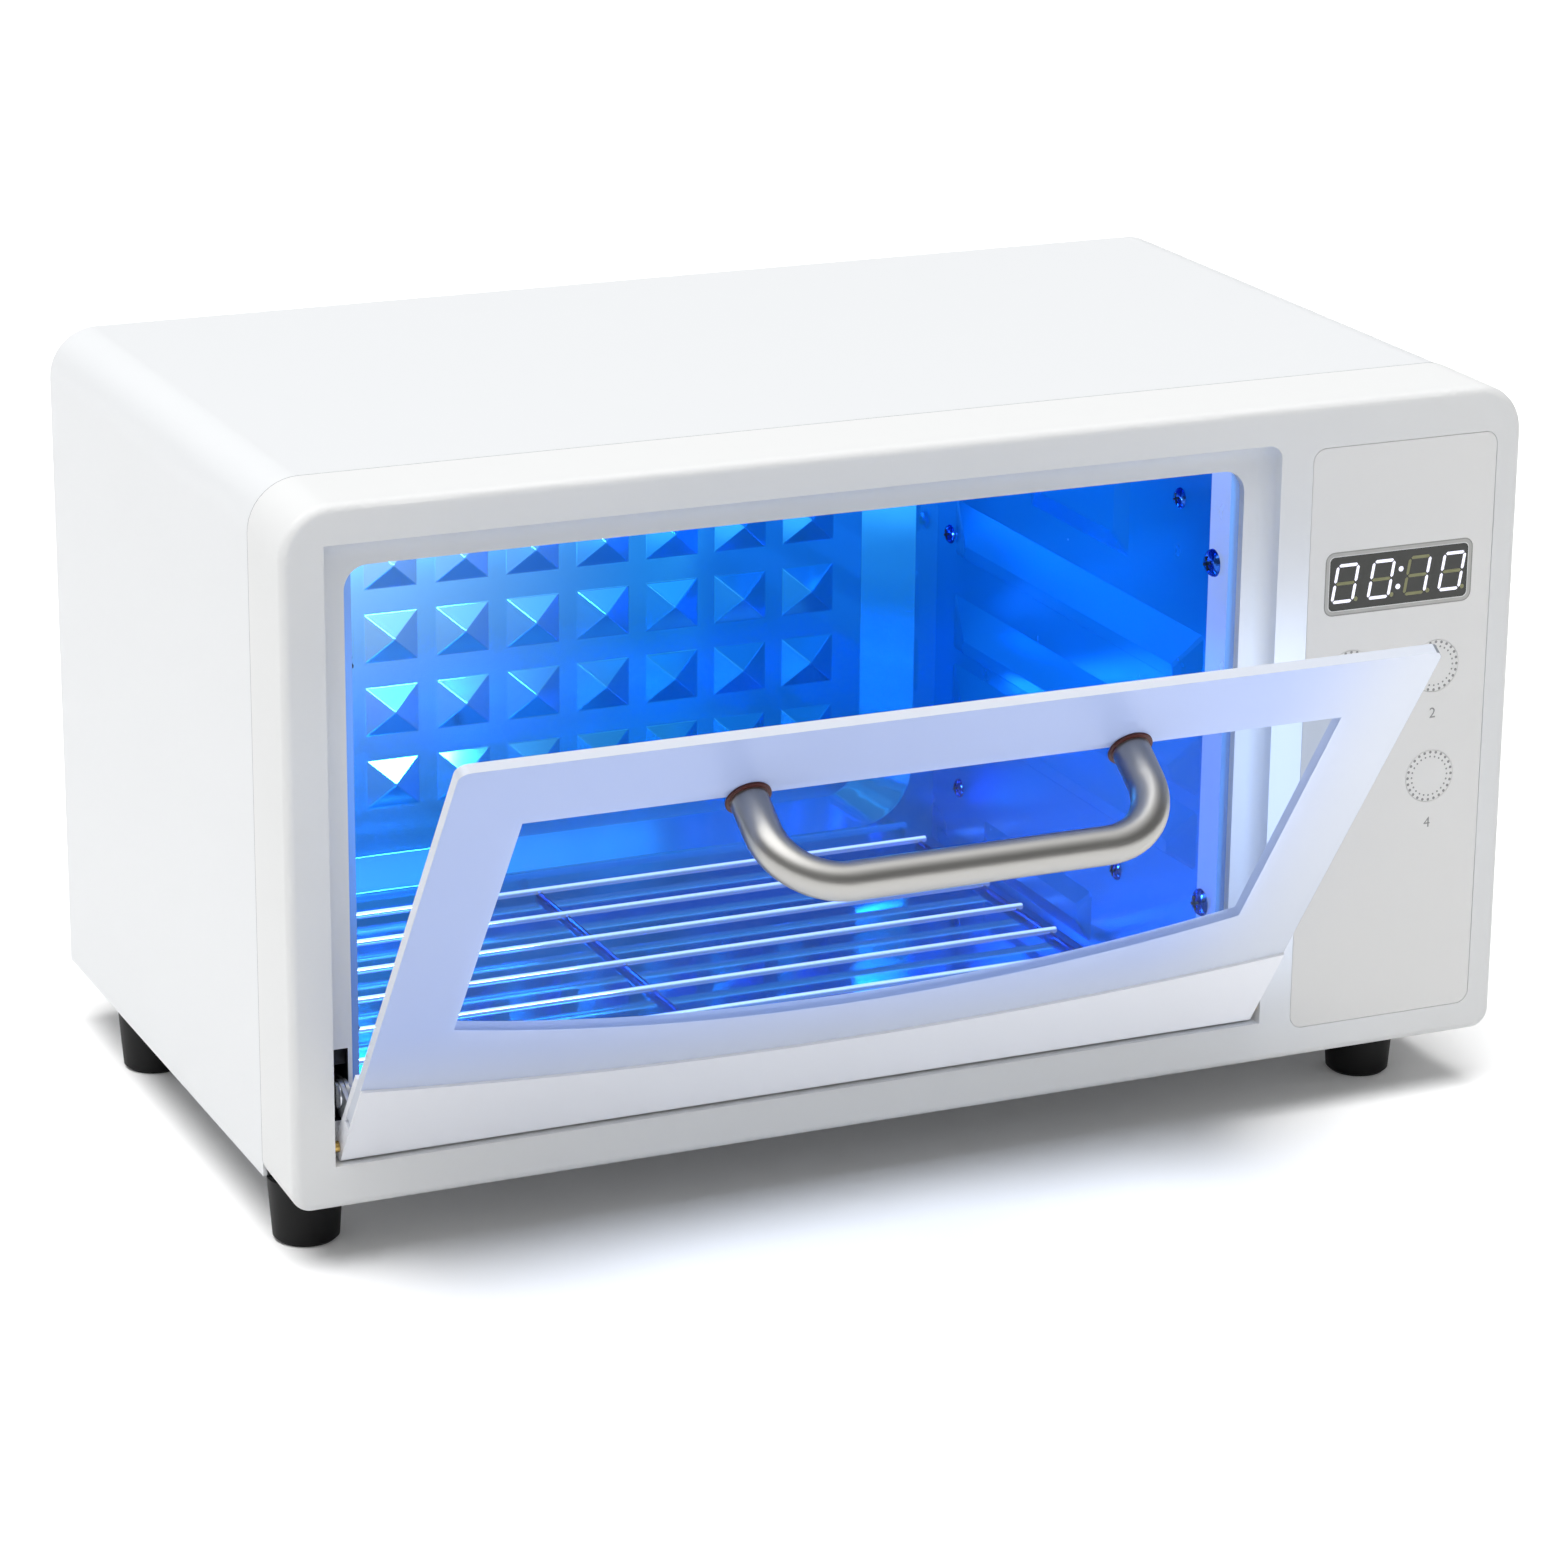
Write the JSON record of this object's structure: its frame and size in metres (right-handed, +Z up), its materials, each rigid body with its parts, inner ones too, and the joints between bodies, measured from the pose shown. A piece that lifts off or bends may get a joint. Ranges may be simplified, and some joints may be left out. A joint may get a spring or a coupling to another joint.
{
  "type": "nail tool sterilizer cabinet",
  "caption": "Desktop ultraviolet sterilizer cabinet for nail tools: white casing, drop-down glass door with bar handle, pyramid-lined steel chamber, wire rack, display and touch-sized keys.",
  "frame": {"origin": "bottom middle of the box that the cabinet fills at rest, door half open; on the surface that the feet stand on", "axes": "+X to the cabinet's left-to-right seen from the front, the longest way; -Y out of the door; +Z up"},
  "size_m": [0.3622, 0.3178, 0.2092],
  "materials": {
    "black_plastic": "black moulded nylon",
    "black_rubber": "black moulded rubber",
    "brass": "turned brass",
    "display_black": "dark polished acrylic",
    "film": "printed polyester film, fine matt",
    "galvanised": "zinc-plated sheet steel, dull",
    "gasket": "dark red silicone rubber",
    "glass": "tempered glass, polished",
    "holder_white": "white heat-resistant plastic",
    "lamp_cap": "pressed aluminium cap with plated pins",
    "lamp_glass": "quartz glass, glowing blue-violet",
    "parts": "mixed electronic parts",
    "pcb": "green solder resist",
    "rack_wire": "bright electropolished wire",
    "rail_white": "white moulded ABS, satin",
    "satin_nickel": "satin nickel-plated tube",
    "spring_steel": "spring wire, oiled",
    "stainless": "thin polished stainless sheet",
    "white_abs": "light grey-white moulded ABS, satin",
    "white_enamel": "smooth white powder-coated sheet steel, satin",
    "zinc_screw": "nickel-plated steel"
  },
  "bodies": {
    "cabinet": {"base_pan": "galvanised", "board_standoffs": "brass", "control_board": "pcb", "control_board_screws": "zinc_screw", "control_film": "film", "cover_screws": "zinc_screw", "display_lens": "display_black", "display_module": "black_plastic", "feet": "black_rubber", "foot_screws": "zinc_screw", "front_bezel": "white_abs", "hinge_pins": "brass", "inlet_contacts": "brass", "lamp_ballast": "black_plastic", "lamp_caps": "lamp_cap", "lamp_holders": "holder_white", "lamp_reflector": "stainless", "liner_back": "stainless", "liner_floor": "stainless", "liner_left": "stainless", "liner_right": "stainless", "liner_screws": "zinc_screw", "liner_top": "stainless", "outer_casing": "white_enamel", "power_board": "pcb", "power_inlet": "black_plastic", "power_parts": "parts", "rear_cover": "white_enamel", "spring_anchors": "galvanised", "tact_switches": "black_plastic", "uv_lamp": "lamp_glass"},
    "door": {"door_glass": "glass", "door_rail": "rail_white", "door_handle": "satin_nickel", "handle_gaskets": "gasket", "handle_screws": "zinc_screw", "hinge_ears": "galvanised", "ear_rivets": "zinc_screw"},
    "link_left": {"left_link": "galvanised", "left_spring": "spring_steel"},
    "link_right": {"right_link": "galvanised", "right_spring": "spring_steel"},
    "rack": {"wire_rack": "rack_wire"},
    "key_1": {"key_1": "film"},
    "key_2": {"key_2": "film"},
    "key_3": {"key_3": "film"},
    "key_4": {"key_4": "film"}
  },
  "joints": [
    {"name": "door_hinge", "type": "hinge", "parent": "cabinet", "child": "door", "pos_m": [-0.03225, -0.04932, 0.0343], "axis": [1, 0, 0], "range_deg": [-35, 52]},
    {"name": "left_link_pivot", "type": "hinge", "parent": "door", "child": "link_left", "pos_m": [-0.03225, -0.04714, 0.04792], "axis": [1, 0, 0], "range_deg": [-52, 35], "deforming": ["left_spring"]},
    {"name": "right_link_pivot", "type": "hinge", "parent": "door", "child": "link_right", "pos_m": [-0.03225, -0.04714, 0.04792], "axis": [1, 0, 0], "range_deg": [-52, 35], "deforming": ["right_spring"]},
    {"name": "rack_slide", "type": "slide", "parent": "cabinet", "child": "rack", "axis": [0, -1, 0], "range_m": [-0.0045, 0.0153]},
    {"name": "key_1_press", "type": "slide", "parent": "cabinet", "child": "key_1", "axis": [0, 1, 0], "range_m": [0, 0.0003], "stiffness_N_per_m": 2500, "springref_m": -0.0003},
    {"name": "key_2_press", "type": "slide", "parent": "cabinet", "child": "key_2", "axis": [0, 1, 0], "range_m": [0, 0.0003], "stiffness_N_per_m": 2500, "springref_m": -0.0003},
    {"name": "key_3_press", "type": "slide", "parent": "cabinet", "child": "key_3", "axis": [0, 1, 0], "range_m": [0, 0.0003], "stiffness_N_per_m": 2500, "springref_m": -0.0003},
    {"name": "key_4_press", "type": "slide", "parent": "cabinet", "child": "key_4", "axis": [0, 1, 0], "range_m": [0, 0.0003], "stiffness_N_per_m": 2500, "springref_m": -0.0003}
  ],
  "couplings": [
    {"joint": "left_link_pivot", "follows": "door_hinge", "ratio": -1},
    {"joint": "right_link_pivot", "follows": "door_hinge", "ratio": -1}
  ]
}
